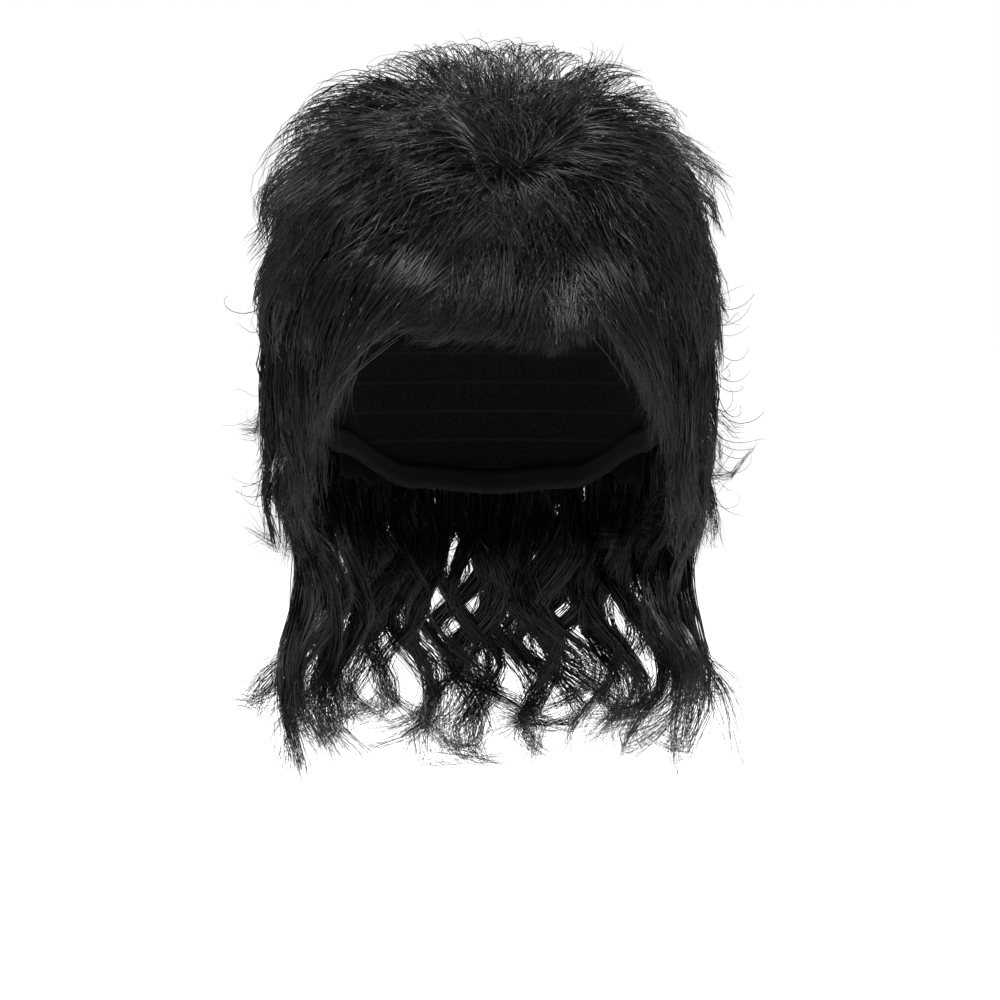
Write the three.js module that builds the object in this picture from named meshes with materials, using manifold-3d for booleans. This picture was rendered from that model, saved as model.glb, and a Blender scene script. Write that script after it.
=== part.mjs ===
// A mullet wig: short spiked hair on the crown, a fringe, sides with sideburns and a long wavy tail,
// all carried by a thin cap that is hollow for the head.
// Millimetres, +Z up. The origin is where the crown of the head meets the inside of the cap.
// The wearer faces -Y, and the wearer's left is +X. A bearing turns from the face (0) to the left (90).
import * as THREE from "three";
import { mergeVertices } from "three/addons/utils/BufferGeometryUtils.js";
import Module from "manifold-3d";

const wasm = await Module();
wasm.setup();

// The head that the cap is made for
const HEAD_BREADTH = 154;
const HEAD_LENGTH = 196;
const CROWN_DEPTH = 95; // from the crown down to the widest ring of the head
const HOLLOW_DROP = 155; // from the crown down past the cap's lowest edge

// The cap and the stretch band inside its edge
const CAP_WALL = 1.6;
const BAND_WALL = 1.4;
const BAND_HEIGHT = 9;
const FIT_GAP = 0.35; // between pieces that lie on each other
const CAP_SECTORS = 24;
const CAP_RINGS = 5;
const CROWN_RINGS = 4;

// The hair
const ROOT_LAYER = 5; // dense hair close to the cap
const CROWN_LENGTH = 62; // locks on top, root to tip
const CROWN_RISE = 27; // how far the dense hair behind the whorl stands off the root layer
const TIP_LIFT = 20; // how far the tips on top stand off the dense hair
const FRINGE_RISE = 7;
const SIDE_RISE = 10;
const BACK_RISE = 19;
const TAIL_RISE = 8;
const FLICK = 9; // how far the tips of the sides and the back turn out
const FRINGE_DROP = 80; // each drop is measured down from the crown of the head
const SIDEBURN_DROP = 152;
const SIDE_DROP = 168;
const BACK_DROP = 186;
const TAIL_DROP = 262;
const LOCK_WIDTH = 22;
const SIDEBURN_LOCK_WIDTH = 17;
const BACK_LOCK_WIDTH = 26;
const LOCK_THICKNESS = 11;
const TAIL_LOCK_THICKNESS = 13;
const LOCK_SINK = 3; // how deep the roots of the crown's locks lie in the dense hair
const LOCK_DRIFT = 2; // degrees that a hanging lock strays from side to side
const TAIL_WAVE = 7; // sideways swing of the tail's waves
const TAIL_SWELL = 4; // their swing in and out
const TAIL_WAVE_LENGTH = 78;
const TAIL_OVERLAP = 27; // how far the tail's roots go up over the cap from its edge
const WHORL_POLAR = 25; // degrees in front of the crown
const WHORL_BEARING = 8;
const FRINGE_SPREAD = 58; // degrees to each side of the face
const SIDE_START = 61; // bearing of the sideburns' front edge
const SIDEBURN_END = 77;
const SIDE_END = 122; // bearing where the sides meet the back
const LOCK_SIDES = 4;
const LOCK_STEPS = 4;
const TAIL_STEPS = 8;
const CURTAIN_COLUMNS = 4;
const CURTAIN_ROWS = 5;

const { degToRad, radToDeg, lerp, clamp, smoothstep } = THREE.MathUtils;

const HALF_BREADTH = HEAD_BREADTH / 2;
const HALF_LENGTH = HEAD_LENGTH / 2;
const MEAN_RADIUS = (HALF_BREADTH + HALF_LENGTH) / 2;
const CAP_SKIN = CAP_WALL + FIT_GAP; // where the hair starts, off the head
const BAND_ANGLE = radToDeg(BAND_HEIGHT / MEAN_RADIUS);
const EDGE_CLEARANCE = radToDeg(FIT_GAP / MEAN_RADIUS);
const EDGE_RING = CAP_RINGS + 1;

// The cap's edge: degrees down from the crown, at each bearing
const CAP_EDGE = [
  { bearing: 0, polar: 64 },
  { bearing: 35, polar: 70 },
  { bearing: 58, polar: 96 },
  { bearing: 74, polar: 103 },
  { bearing: 92, polar: 94 },
  { bearing: 118, polar: 108 },
  { bearing: 150, polar: 119 },
  { bearing: 180, polar: 121 },
];

// The crown hair's reach from the whorl, in degrees, and its rise as a share of CROWN_RISE
const CROWN_SPREAD = [
  { bearing: 0, reach: 15, rise: 0.25 },
  { bearing: 48, reach: 22, rise: 0.45 },
  { bearing: 70, reach: 46, rise: 0.85 },
  { bearing: 95, reach: 58, rise: 1 },
  { bearing: 135, reach: 76, rise: 1 },
  { bearing: 180, reach: 86, rise: 1 },
];

// The rise of the dense crown hair from the whorl out, and past its rim, as a share of the piece's rise
const CROWN_DOME = [
  { along: 0, rise: 0.1 },
  { along: 0.3, rise: 0.85 },
  { along: 0.55, rise: 1 },
  { along: 0.85, rise: 0.85 },
  { along: 1, rise: 0.6 },
  { along: 1.6, rise: 0.35 },
];

// The thickness of dense hanging hair from root to hem, as a share of its greatest
const CURTAIN_SHAPE = [
  { along: 0, thickness: 0.8 },
  { along: 0.35, thickness: 1 },
  { along: 0.75, thickness: 0.85 },
  { along: 1, thickness: 0.25 },
];

// The head and neck that falling hair follows below the widest ring, as shares of the tail's drop
// and of the head's half breadth and half length
const FALL = [
  { drop: 0.36, side: 1, back: 1 },
  { drop: 0.53, side: 0.98, back: 0.95 },
  { drop: 0.66, side: 0.86, back: 0.85 },
  { drop: 0.82, side: 0.94, back: 0.92 },
  { drop: 1, side: 0.92, back: 1 },
];

// A lock from root to tip, as shares of its length, width and thickness
const LOCK_SHAPE = [
  { along: 0, width: 0.6, thickness: 0.7 },
  { along: 0.2, width: 0.95, thickness: 1 },
  { along: 0.5, width: 1, thickness: 0.95 },
  { along: 0.75, width: 0.72, thickness: 0.7 },
  { along: 0.92, width: 0.36, thickness: 0.4 },
  { along: 1, width: 0.1, thickness: 0.14 },
];

// Rings of crown locks round the whorl: where they start as a share of the crown's reach,
// how many there are in a full turn, and their length and lift as shares of the named ones
const CROWN_TIERS = [
  { start: 0.06, count: 5, length: 0.75, lift: 1.1 },
  { start: 0.26, count: 8, length: 0.9, lift: 0.95 },
  { start: 0.5, count: 11, length: 1, lift: 0.7 },
  { start: 0.76, count: 13, length: 1, lift: 0.4 },
];

// Rows of hanging locks: start is a share of the way from the crown down to the cap's edge, from and to
// are shares of the way round the piece, and lift and tip are shares of its rise and drop
const FRINGE_ROWS = [
  { start: 0.5, count: 4, from: 0.04, to: 0.96, lift: 1.15, tip: 0.84 },
  { start: 0.8, count: 6, from: 0, to: 1, lift: 0.95, tip: 1 },
];
const SIDEBURN_ROWS = [{ start: 0.76, count: 2, from: 0.05, to: 0.95, lift: 1, tip: 1 }];
const SIDE_ROWS = [
  { start: 0.6, count: 3, from: 0.04, to: 0.96, lift: 1.2, tip: 0.8 },
  { start: 0.85, count: 4, from: 0, to: 1, lift: 0.85, tip: 1 },
];
const BACK_ROWS = [
  { start: 0.5, count: 4, from: 0.06, to: 0.94, lift: 1.3, tip: 0.82 },
  { start: 0.75, count: 5, from: 0, to: 1, lift: 1.1, tip: 1 },
];

// The tail's bunches, and the locks of each bunch: bearing and drop of the locks within a bunch
const TAIL_BUNCHES = [
  { name: "tail_left", from: 94, to: 124, drop: 0.965, phase: 0.1 },
  { name: "tail_back_left", from: 125, to: 161, drop: 0.99, phase: 0.45 },
  { name: "tail_middle", from: 162, to: 198, drop: 1, phase: 0.75 },
  { name: "tail_back_right", from: 199, to: 235, drop: 0.985, phase: 0.3 },
  { name: "tail_right", from: 236, to: 266, drop: 0.97, phase: 0.6 },
];
const TAIL_LOCKS = [
  { across: 0.14, lift: 1.2, drop: 0.95, phase: 0 },
  { across: 0.82, lift: 1.1, drop: 1, phase: 0.35 },
  { across: 0.48, lift: 0.7, drop: 0.92, phase: 0.6 },
];

// How far down the dense hair goes, as a share of the drop of the locks on it
const FRINGE_HEM = 0.8;
const SIDE_HEM = 0.88;
const BACK_HEM = 0.86;
const TAIL_HEM = 0.84;
const HEM_NOTCH = 0.06; // how far the points of a hem go up and down
const LOCK_HOLD = 0.8; // how far down CURTAIN_SHAPE a hanging lock's tip lies

// A repeatable number from 0 to 1 for the n-th copy of something
function scatter(n) {
  const value = Math.sin(n * 12.9898 + 4.1) * 43758.5453;
  return value - Math.floor(value);
}

// One column of a table at a place between its rows, eased from row to row
function readTable(table, place, column, at) {
  const rows = table.filter((row) => row[place] <= at);
  const before = rows.length ? rows[rows.length - 1] : table[0];
  const after = table[Math.min(rows.length, table.length - 1)];
  const span = after[place] - before[place];
  const share = span > 0 ? clamp((at - before[place]) / span, 0, 1) : 0;
  return lerp(before[column], after[column], share * share * (3 - 2 * share));
}

// A bearing folded to 0 to 180, because the tables are the same on both sides
function foldBearing(bearing) {
  const turned = ((bearing % 360) + 360) % 360;
  return turned > 180 ? 360 - turned : turned;
}

function capEdge(bearing) {
  return readTable(CAP_EDGE, "bearing", "polar", foldBearing(bearing));
}

// The unit direction at an angle down from the crown and a bearing, both in degrees
function directionAt(polar, bearing) {
  const [p, b] = [degToRad(polar), degToRad(bearing)];
  return new THREE.Vector3(Math.sin(p) * Math.sin(b), -Math.sin(p) * Math.cos(b), Math.cos(p));
}

const WHORL = directionAt(WHORL_POLAR, WHORL_BEARING);
const WHORL_FRONT = directionAt(WHORL_POLAR + 90, WHORL_BEARING);
const WHORL_LEFT = new THREE.Vector3().crossVectors(WHORL, WHORL_FRONT);

// The unit direction at an angle from the whorl and a bearing round it
function directionFromWhorl(angle, bearing) {
  const [a, b] = [degToRad(angle), degToRad(bearing)];
  return WHORL.clone()
    .multiplyScalar(Math.cos(a))
    .addScaledVector(WHORL_FRONT, Math.sin(a) * Math.cos(b))
    .addScaledVector(WHORL_LEFT, Math.sin(a) * Math.sin(b));
}

// A place on the head, and the way out of it
function headPlace(direction, offset) {
  const point = new THREE.Vector3(HALF_BREADTH, HALF_LENGTH, CROWN_DEPTH).multiply(direction);
  const out = new THREE.Vector3(
    point.x / HALF_BREADTH ** 2,
    point.y / HALF_LENGTH ** 2,
    point.z / CROWN_DEPTH ** 2,
  ).normalize();
  point.addScaledVector(out, offset);
  point.z -= CROWN_DEPTH;
  return { point, out };
}

// A place on the column that hair falls down below the widest ring
function fallPlace(bearing, drop, offset) {
  const b = degToRad(bearing);
  const share = Math.max(drop / TAIL_DROP, FALL[0].drop);
  const side = HALF_BREADTH * readTable(FALL, "drop", "side", share);
  const length = HALF_LENGTH * readTable(FALL, "drop", "back", share);
  const out = new THREE.Vector3(Math.sin(b) / side, -Math.cos(b) / length, 0).normalize();
  const point = new THREE.Vector3(side * Math.sin(b), -length * Math.cos(b), -drop);
  return { point: point.addScaledVector(out, offset), out };
}

// The way down over the head, in degrees from the crown: past 90 it goes on straight down at the same scale
function dropAtArc(arc) {
  return CROWN_DEPTH * (arc < 90 ? 1 - Math.cos(degToRad(arc)) : 1 + degToRad(arc - 90));
}

function arcAtDrop(drop) {
  const share = drop / CROWN_DEPTH;
  return share < 1 ? radToDeg(Math.acos(1 - share)) : 90 + radToDeg(share - 1);
}

// A place that hair hanging at this bearing and drop passes
function hangPlace(bearing, drop, offset) {
  if (drop >= CROWN_DEPTH) return fallPlace(bearing, drop, offset);
  return headPlace(directionAt(arcAtDrop(drop), bearing), offset);
}

// A place on the head in this direction, or below it on the column that hair falls down
function drapePlace(direction, offset) {
  if (direction.z >= 0) return headPlace(direction, offset);
  const bearing = radToDeg(Math.atan2(direction.x, -direction.y));
  return fallPlace(bearing, CROWN_DEPTH * (1 + Math.asin(-direction.z)), offset);
}

// A closed manifold-3d solid from a three.js geometry
function solidFrom(geometry) {
  const bare = geometry.clone();
  bare.deleteAttribute("normal");
  bare.deleteAttribute("uv");
  const merged = mergeVertices(bare, 1e-3);
  return new wasm.Manifold(
    new wasm.Mesh({
      numProp: 3,
      vertProperties: new Float32Array(merged.attributes.position.array),
      triVerts: new Uint32Array(merged.index.array),
    }),
  );
}

function geometryFrom(solid) {
  const mesh = solid.getMesh();
  const geometry = new THREE.BufferGeometry();
  geometry.setAttribute("position", new THREE.BufferAttribute(new Float32Array(mesh.vertProperties), 3));
  geometry.setIndex(new THREE.BufferAttribute(new Uint32Array(mesh.triVerts), 1));
  return geometry;
}

// Moves each vertex of a geometry to where place(x, y, z) puts it
function reshape(geometry, place) {
  const position = geometry.attributes.position;
  for (let i = 0; i < position.count; i++) {
    const moved = place(position.getX(i), position.getY(i), position.getZ(i));
    position.setXYZ(i, moved.x, moved.y, moved.z);
  }
  return geometry;
}

// A lathe whose radius counts rings and whose height counts offset steps, bent onto the head
function domeFrom(profile, place) {
  const points = profile.map((p) => new THREE.Vector2(p.ring, p.level));
  const lathe = new THREE.LatheGeometry(points, CAP_SECTORS);
  return reshape(lathe, (x, y, z) => {
    const bearing = radToDeg(Math.atan2(x, z));
    return place(Math.hypot(x, z), bearing, y);
  });
}

// Degrees down from the crown at a ring of the cap: from EDGE_RING to it is the band's height, and the
// ring after it is just past the edge
function ringPolar(ring, bearing) {
  const edge = capEdge(bearing);
  if (ring > EDGE_RING) return edge + EDGE_CLEARANCE;
  const body = edge - BAND_ANGLE;
  return ring <= CAP_RINGS ? (body * ring) / CAP_RINGS : edge;
}

// The head grown by an offset, down to a ring and closed to a middle point: the cap is cut from these,
// and the hair is cut by one, so that surfaces that lie on each other have the same facets
function headBlock(offset, lastRing = EDGE_RING, middleDrop = CROWN_DEPTH) {
  const profile = [{ ring: 0, level: 0 }];
  for (let ring = lastRing; ring >= 0; ring--) profile.push({ ring, level: 1 });
  return solidFrom(
    domeFrom(profile, (ring, bearing, level) => {
      if (level < 0.5) return new THREE.Vector3(0, 0, -middleDrop);
      return headPlace(directionAt(ringPolar(Math.round(ring), bearing), bearing), offset).point;
    }),
  );
}

// A wall round the head between two offsets, open at the bottom
function headWall(inside, outside) {
  return headBlock(outside).subtract(headBlock(inside, EDGE_RING, HOLLOW_DROP));
}

function edgeBand() {
  const [outside, inside] = [-FIT_GAP, -FIT_GAP - BAND_WALL];
  const [edge, top] = [EDGE_RING, CAP_RINGS];
  const corners = [
    { ring: edge, level: outside },
    { ring: top, level: outside },
    { ring: top, level: inside },
    { ring: edge, level: inside },
    { ring: edge, level: outside },
  ];
  return domeFrom(corners, (ring, bearing, offset) =>
    headPlace(directionAt(ringPolar(Math.round(ring), bearing), bearing), offset).point,
  );
}

// A tapered lock along a path: place(along) gives its middle line and the way out of the head
function lockAlong(place, { width, thickness, steps, grow }) {
  const tube = new THREE.CylinderGeometry(1, 1, 1, LOCK_SIDES, steps);
  const nudge = 0.5 / steps;
  return reshape(tube, (x, y, z) => {
    const along = clamp(0.5 - y, 0, 1);
    const here = place(along);
    const ahead = place(Math.min(along + nudge, 1)).point;
    const behind = place(Math.max(along - nudge, 0)).point;
    const forward = ahead.sub(behind).normalize();
    const out = here.out.clone().addScaledVector(forward, -here.out.dot(forward)).normalize();
    const across = new THREE.Vector3().crossVectors(out, forward);
    const half = (column, size) => (readTable(LOCK_SHAPE, "along", column, along) * size) / 2 + grow;
    const past = along < nudge ? -grow : along > 1 - nudge ? grow : 0;
    return here.point
      .clone()
      .addScaledVector(forward, past)
      .addScaledVector(across, x * half("width", width))
      .addScaledVector(out, z * half("thickness", thickness));
  });
}

// How far the dense crown hair stands off the head at an angle from the whorl
function crownOffset(angle, bearing) {
  const folded = foldBearing(bearing);
  const along = angle / readTable(CROWN_SPREAD, "bearing", "reach", folded);
  const rise = CROWN_RISE * readTable(CROWN_SPREAD, "bearing", "rise", folded);
  return CAP_SKIN + ROOT_LAYER + rise * readTable(CROWN_DOME, "along", "rise", along);
}

function crownLocks(grow) {
  const locks = [];
  CROWN_TIERS.forEach((tier, t) => {
    for (let i = 0; i < tier.count; i++) {
      const seed = t * 31 + i;
      const bearing = ((i + 0.5 * (t % 2)) * 360) / tier.count + 9 * (scatter(seed) - 0.5);
      const folded = foldBearing(bearing);
      if (t > 0 && folded < FRINGE_SPREAD * 0.8) continue; // the fringe's place
      const start = tier.start * readTable(CROWN_SPREAD, "bearing", "reach", folded);
      const length = CROWN_LENGTH * tier.length * (0.9 + 0.2 * scatter(seed + 3));
      const lift = TIP_LIFT * tier.lift * (0.7 + 0.6 * scatter(seed + 7));
      const sweep = radToDeg(length / (MEAN_RADIUS + CROWN_RISE));
      const place = (along) => {
        const angle = start + sweep * along;
        const off = crownOffset(angle, bearing) - LOCK_SINK + lift * along * along;
        return drapePlace(directionFromWhorl(angle, bearing), off);
      };
      const shape = { width: LOCK_WIDTH, thickness: LOCK_THICKNESS, steps: LOCK_STEPS };
      locks.push(solidFrom(lockAlong(place, { ...shape, grow })));
    }
  });
  return locks;
}

function crownHair(grow) {
  const rings = Array.from({ length: CROWN_RINGS + 1 }, (_, ring) => ring);
  const under = rings.map((ring) => ({ ring, level: 0 }));
  const over = rings.map((ring) => ({ ring, level: 1 })).reverse();
  const dome = domeFrom([...under, ...over], (ring, bearing, level) => {
    const reach = readTable(CROWN_SPREAD, "bearing", "reach", foldBearing(bearing));
    const angle = (reach * ring) / CROWN_RINGS + (ring > CROWN_RINGS - 0.5 ? grow : 0);
    const offset = level > 0.5 ? crownOffset(angle, bearing) + grow : -ROOT_LAYER;
    return drapePlace(directionFromWhorl(angle, bearing), offset).point;
  });
  return wasm.Manifold.union([solidFrom(dome), ...crownLocks(grow)]);
}

// How thick dense hanging hair is at its thickest
function hangThickness(bearing) {
  const folded = foldBearing(bearing);
  const side = lerp(FRINGE_RISE, SIDE_RISE, smoothstep(folded, FRINGE_SPREAD, SIDEBURN_END));
  return ROOT_LAYER + lerp(side, BACK_RISE, smoothstep(folded, SIDEBURN_END, (SIDE_END + 180) / 2));
}

// The dense hair that hangs between two bearings, from an angle down from the crown to a pointed hem
function curtain({ from, to, top, hem, thickness }, grow) {
  const box = new THREE.BoxGeometry(1, 1, 1, CURTAIN_COLUMNS, CURTAIN_ROWS, 1);
  return reshape(box, (x, y, z) => {
    const [across, along] = [x + 0.5, 0.5 - y];
    const bearing = lerp(from, to, across) + rimGrowth(x, grow);
    const points = 1 - HEM_NOTCH * Math.cos(CURTAIN_COLUMNS * Math.PI * across);
    const arc = lerp(top, arcAtDrop(hem(bearing) * points), along) + rimGrowth(-y, grow);
    const inside = arc < capEdge(bearing) ? -ROOT_LAYER : CAP_SKIN - grow;
    const thick = thickness(bearing) * readTable(CURTAIN_SHAPE, "along", "thickness", along);
    return hangPlace(bearing, dropAtArc(arc), z > 0 ? CAP_SKIN + thick + grow : inside).point;
  });
}

// Degrees that the rim of a box from -0.5 to 0.5 grows by, so that it grows by a length on the head
function rimGrowth(at, grow) {
  return Math.abs(at) > 0.49 ? Math.sign(at) * radToDeg(grow / MEAN_RADIUS) : 0;
}

// Hair that hangs from rows round the head: its locks are fused to a curtain between two bearings
function hangingHair({ from, to, top, rows, drop, hem, lockWidth, flick, turn, seed }, grow) {
  const locks = rows.flatMap((row, r) =>
    Array.from({ length: row.count }, (_, i) => {
      const number = seed + r * 17 + i;
      const share = (i + 0.5) / row.count;
      const bearing = lerp(from, to, lerp(row.from, row.to, share));
      const start = capEdge(bearing) * row.start;
      const end = arcAtDrop(drop(bearing) * row.tip * (0.96 + 0.08 * scatter(number)));
      const thick = hangThickness(bearing) * row.lift * (0.85 + 0.3 * scatter(number + 5));
      const place = (along) => {
        const swing = turn * (share - 0.5) * along ** 2 + LOCK_DRIFT * Math.sin(5 * along + number);
        const over = thick * readTable(CURTAIN_SHAPE, "along", "thickness", LOCK_HOLD * along);
        const off = CAP_SKIN + over + flick * along ** 4;
        return hangPlace(bearing + swing, dropAtArc(lerp(start, end, along)), off);
      };
      const shape = { width: lockWidth, thickness: LOCK_THICKNESS, steps: LOCK_STEPS };
      return solidFrom(lockAlong(place, { ...shape, grow }));
    }),
  );
  const dense = { from, to, top, hem: (bearing) => drop(bearing) * hem, thickness: hangThickness };
  return wasm.Manifold.union([solidFrom(curtain(dense, grow)), ...locks]);
}

// A bunch of the tail: wavy locks on a curtain of dense hair that starts under the back hair
function tailBunch({ from, to, drop, phase }, grow) {
  const top = capEdge((from + to) / 2) - radToDeg(TAIL_OVERLAP / MEAN_RADIUS);
  const locks = TAIL_LOCKS.map((lock) => {
    const bearing = lerp(from, to, lock.across);
    const rootDrop = dropAtArc(top);
    const tipDrop = TAIL_DROP * drop * lock.drop;
    const place = (along) => {
      const down = lerp(rootDrop, tipDrop, along);
      const free = clamp((down - rootDrop) / TAIL_WAVE_LENGTH, 0, 1);
      const turn = 2 * Math.PI * (down / TAIL_WAVE_LENGTH + phase + lock.phase);
      const off = CAP_SKIN + ROOT_LAYER + TAIL_RISE * lock.lift * free;
      const spot = hangPlace(bearing, down, off + TAIL_SWELL * free * Math.cos(turn));
      const across = new THREE.Vector3(0, 0, 1).cross(spot.out);
      spot.point.addScaledVector(across, TAIL_WAVE * free * Math.sin(turn));
      return spot;
    };
    const shape = { width: LOCK_WIDTH, thickness: TAIL_LOCK_THICKNESS, steps: TAIL_STEPS };
    return solidFrom(lockAlong(place, { ...shape, grow }));
  });
  const hem = () => TAIL_DROP * drop * TAIL_HEM;
  const dense = { from, to, top, hem, thickness: () => ROOT_LAYER + TAIL_RISE };
  return wasm.Manifold.union([solidFrom(curtain(dense, grow)), ...locks]);
}

const FRINGE = {
  from: -FRINGE_SPREAD,
  to: FRINGE_SPREAD,
  top: WHORL_POLAR,
  rows: FRINGE_ROWS,
  drop: (bearing) => FRINGE_DROP * (1 + 0.24 * (bearing / FRINGE_SPREAD) ** 2),
  hem: FRINGE_HEM,
  lockWidth: LOCK_WIDTH,
  flick: -3,
  turn: 8,
  seed: 400,
};
const BACK_HAIR = {
  from: SIDE_END + 1,
  to: 359 - SIDE_END,
  top: 52,
  rows: BACK_ROWS,
  drop: () => BACK_DROP,
  hem: BACK_HEM,
  lockWidth: BACK_LOCK_WIDTH,
  flick: FLICK,
  turn: 10,
  seed: 300,
};

const PIECES = [
  { name: "crown_hair", make: crownHair },
  { name: "fringe", make: (grow) => hangingHair(FRINGE, grow) },
];
for (const [side, sign] of [["left", 1], ["right", -1]]) {
  const bearings = (from, to) => (sign > 0 ? { from, to } : { from: 360 - to, to: 360 - from });
  const sideburn = {
    ...bearings(SIDE_START, SIDEBURN_END),
    top: 56,
    rows: SIDEBURN_ROWS,
    drop: () => SIDEBURN_DROP,
    hem: SIDE_HEM,
    lockWidth: SIDEBURN_LOCK_WIDTH,
    flick: 0,
    turn: 2,
    seed: 200 + 50 * sign,
  };
  const sideHair = {
    ...bearings(SIDEBURN_END + 1, SIDE_END),
    top: 50,
    rows: SIDE_ROWS,
    drop: () => SIDE_DROP,
    hem: SIDE_HEM,
    lockWidth: LOCK_WIDTH,
    flick: FLICK,
    turn: 6,
    seed: 100 + 50 * sign,
  };
  PIECES.push({ name: `sideburn_${side}`, make: (grow) => hangingHair(sideburn, grow) });
  PIECES.push({ name: `side_hair_${side}`, make: (grow) => hangingHair(sideHair, grow) });
}
PIECES.push({ name: "back_hair", make: (grow) => hangingHair(BACK_HAIR, grow) });
for (const bunch of TAIL_BUNCHES) {
  PIECES.push({ name: bunch.name, make: (grow) => tailBunch(bunch, grow) });
}

const HAIR_BLACK = new THREE.MeshStandardMaterial({ color: 0x17171a, roughness: 0.45, metalness: 0 });
const CAP_BLACK = new THREE.MeshStandardMaterial({ color: 0x1c1c1e, roughness: 0.9, metalness: 0 });
const BAND_BLACK = new THREE.MeshStandardMaterial({ color: 0x141416, roughness: 0.8, metalness: 0 });

const wig = new THREE.Group();

function addPiece(name, geometry, material) {
  const mesh = new THREE.Mesh(geometry, material);
  mesh.name = name;
  wig.add(mesh);
}

addPiece("cap", geometryFrom(headWall(0, CAP_WALL)), CAP_BLACK);
addPiece("edge_band", edgeBand(), BAND_BLACK);

// Each piece of hair is cut by the cap's block and by the pieces before it, grown by the gap, and its
// largest body is kept
let taken = headBlock(CAP_SKIN, EDGE_RING + 1, HOLLOW_DROP);
for (const { name, make } of PIECES) {
  const bodies = make(0).subtract(taken).decompose();
  const largest = bodies.sort((a, b) => b.volume() - a.volume())[0];
  addPiece(name, geometryFrom(largest), HAIR_BLACK);
  taken = taken.add(make(FIT_GAP));
}

export default wig;
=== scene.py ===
# The finish of a black mullet wig: dense hair and locks as closed forms, thousands of fine strands over
# them, and the net cap with its sewn rows and stretch band inside.
# Lengths are millimetres unless a name or comment says metres. The origin is the crown of the head, the
# wearer faces -Y, and a bearing turns from the face (0) to the wearer's left (90).
import math

import bmesh
import bpy
import numpy as np
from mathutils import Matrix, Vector


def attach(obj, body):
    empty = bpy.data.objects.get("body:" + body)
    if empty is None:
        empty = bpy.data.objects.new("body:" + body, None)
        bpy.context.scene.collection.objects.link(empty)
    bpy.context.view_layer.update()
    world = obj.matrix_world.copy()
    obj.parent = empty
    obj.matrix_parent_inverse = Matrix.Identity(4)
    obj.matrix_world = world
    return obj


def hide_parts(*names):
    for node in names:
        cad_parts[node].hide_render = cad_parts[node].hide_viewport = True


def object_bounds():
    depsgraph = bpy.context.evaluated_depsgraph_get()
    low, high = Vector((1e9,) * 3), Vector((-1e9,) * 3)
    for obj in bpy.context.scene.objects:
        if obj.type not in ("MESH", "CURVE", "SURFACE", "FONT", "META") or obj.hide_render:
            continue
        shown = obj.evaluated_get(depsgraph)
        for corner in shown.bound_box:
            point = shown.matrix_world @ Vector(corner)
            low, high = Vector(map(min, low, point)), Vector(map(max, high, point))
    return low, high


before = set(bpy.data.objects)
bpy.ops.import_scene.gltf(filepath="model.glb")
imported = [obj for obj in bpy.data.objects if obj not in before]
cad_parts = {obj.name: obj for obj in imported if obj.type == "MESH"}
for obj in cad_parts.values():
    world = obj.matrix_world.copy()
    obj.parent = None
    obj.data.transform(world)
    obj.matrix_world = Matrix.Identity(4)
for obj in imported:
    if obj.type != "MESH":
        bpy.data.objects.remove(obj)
CAD_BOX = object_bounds()

MM = 0.001  # metres in a millimetre

# The head that the cap is made for
HEAD_BREADTH = 154
HEAD_LENGTH = 196
CROWN_DEPTH = 95  # from the crown down to the widest ring of the head

# The cap and the stretch band inside its edge
CAP_WALL = 1.6
BAND_WALL = 1.4
BAND_HEIGHT = 9
ELASTIC_RIB = 1.1
FIT_GAP = 0.35
WEFT_SPACING = 12  # between the rows that the hair is sewn to

# The hair
ROOT_LAYER = 5
CROWN_LENGTH = 62
CROWN_RISE = 27
TIP_LIFT = 20
FRINGE_RISE = 7
SIDE_RISE = 10
BACK_RISE = 19
TAIL_RISE = 8
FLICK = 9
FRINGE_DROP = 80
SIDEBURN_DROP = 152
SIDE_DROP = 168
BACK_DROP = 186
TAIL_DROP = 262
TAIL_WAVE = 7
TAIL_SWELL = 4
TAIL_WAVE_LENGTH = 78
TAIL_OVERLAP = 27
TAIL_BULGE = 0.09  # share of a wave that sets the waist under the side hair
TAIL_LOCK_WIDTH = 15
TAIL_LOCK_DEPTH = 6
TAIL_CORE_WIDTH = 9
TAIL_CORE_THICKNESS = 3.6
TAIL_GIVE = 17  # the furthest that tips hang below TAIL_DROP
WHORL_POLAR = 33
WHORL_BEARING = 8
FRINGE_SPREAD = 58
TEMPLE_START = 36
SIDE_START = 61
SIDEBURN_END = 77
SIDE_END = 122

# Strands
STRAND_WIDTH = 0.48
FLYAWAY_WIDTH = 0.3
REACH = (15, 16, 18)  # of loose hairs past the CAD's box, on each axis
UNDER_SHARE = 0.28  # of hanging strands that lie on the inner side
CROWN_POINTS = 10  # places along a strand
FRINGE_POINTS = 9
HANGING_POINTS = 8
TAIL_POINTS = 14
LOOP_POINTS = 22

HALF_BREADTH = HEAD_BREADTH / 2
HALF_LENGTH = HEAD_LENGTH / 2
MEAN_RADIUS = (HALF_BREADTH + HALF_LENGTH) / 2
CAP_SKIN = CAP_WALL + FIT_GAP

# The cap's edge: degrees down from the crown, at each bearing
CAP_EDGE = [
    {"bearing": 0, "polar": 64},
    {"bearing": 35, "polar": 70},
    {"bearing": 58, "polar": 96},
    {"bearing": 74, "polar": 103},
    {"bearing": 92, "polar": 94},
    {"bearing": 118, "polar": 108},
    {"bearing": 150, "polar": 119},
    {"bearing": 180, "polar": 121},
]

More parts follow.
